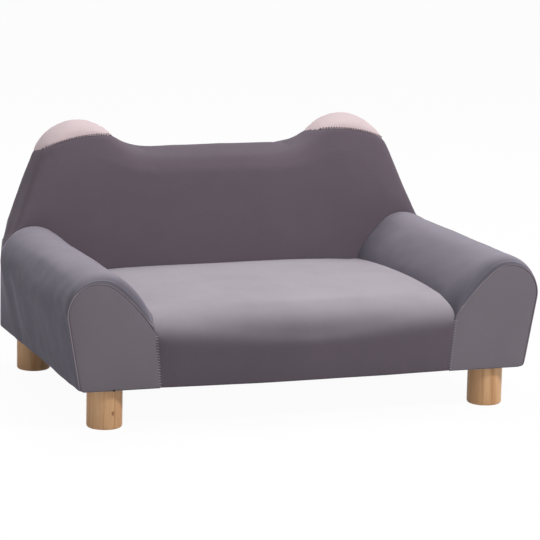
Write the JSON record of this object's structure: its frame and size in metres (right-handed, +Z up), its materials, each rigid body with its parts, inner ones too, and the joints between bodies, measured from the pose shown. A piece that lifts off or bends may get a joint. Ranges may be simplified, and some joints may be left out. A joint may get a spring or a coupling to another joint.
{
  "type": "dog sofa bed",
  "caption": "Small upholstered pet sofa with rolled arms, a crowned seat, a leaning back with two rounded ears in a contrasting colour, and short round wooden legs.",
  "frame": {"origin": "on the floor under the middle of the body", "axes": "+X to the sofa's right as seen from the front, +Y to the back, +Z up"},
  "size_m": [0.774, 0.524, 0.4085],
  "materials": {
    "velvet_grey": "short-pile grey-mauve velvet",
    "velvet_pink": "short-pile pale pink velvet",
    "leg_wood": "clear satin lacquer on pale wood",
    "pine": "planed, bare",
    "plywood": "sanded, bare",
    "fibreboard": "smooth hardboard",
    "foam": "open-cell polyurethane foam",
    "dust_cloth": "black spun-bond non-woven",
    "zinc_steel": "zinc plated"
  },
  "bodies": {
    "root": {"arm_cover_left": "velvet_grey", "arm_cover_right": "velvet_grey", "arm_crest_slat_left": "pine", "arm_crest_slat_right": "pine", "arm_foam_left": "foam", "arm_foam_right": "foam", "arm_front_former_left": "plywood", "arm_front_former_right": "plywood", "arm_front_panel_left": "velvet_grey", "arm_front_panel_right": "velvet_grey", "arm_inner_slat_left": "pine", "arm_inner_slat_right": "pine", "arm_liner_left": "fibreboard", "arm_liner_right": "fibreboard", "arm_outer_slat_left": "pine", "arm_outer_slat_right": "pine", "arm_rear_former_left": "plywood", "arm_rear_former_right": "plywood", "back_centre_post": "pine", "back_cover": "velvet_grey", "back_ear_post_left": "pine", "back_ear_post_right": "pine", "back_foam": "foam", "back_front_board": "plywood", "back_rear_board": "fibreboard", "back_rear_panel": "velvet_grey", "back_side_post_left": "pine", "back_side_post_right": "pine", "back_top_rail": "pine", "base_cross_rail": "pine", "base_front_rail": "pine", "base_rear_rail": "pine", "base_side_rail_left": "pine", "base_side_rail_right": "pine", "dust_cover": "dust_cloth", "ear_cap_left": "velvet_pink", "ear_cap_right": "velvet_pink", "leg_front_left": "leg_wood", "leg_front_right": "leg_wood", "leg_hanger_bolts": "zinc_steel", "leg_rear_left": "leg_wood", "leg_rear_right": "leg_wood", "leg_tee_nuts": "zinc_steel", "seat_bearer_left": "plywood", "seat_bearer_middle": "plywood", "seat_bearer_right": "plywood", "seat_cover": "velvet_grey", "seat_deck": "plywood", "seat_foam": "foam", "seat_front_riser": "plywood", "seat_rear_riser": "plywood"}
  },
  "joints": []
}
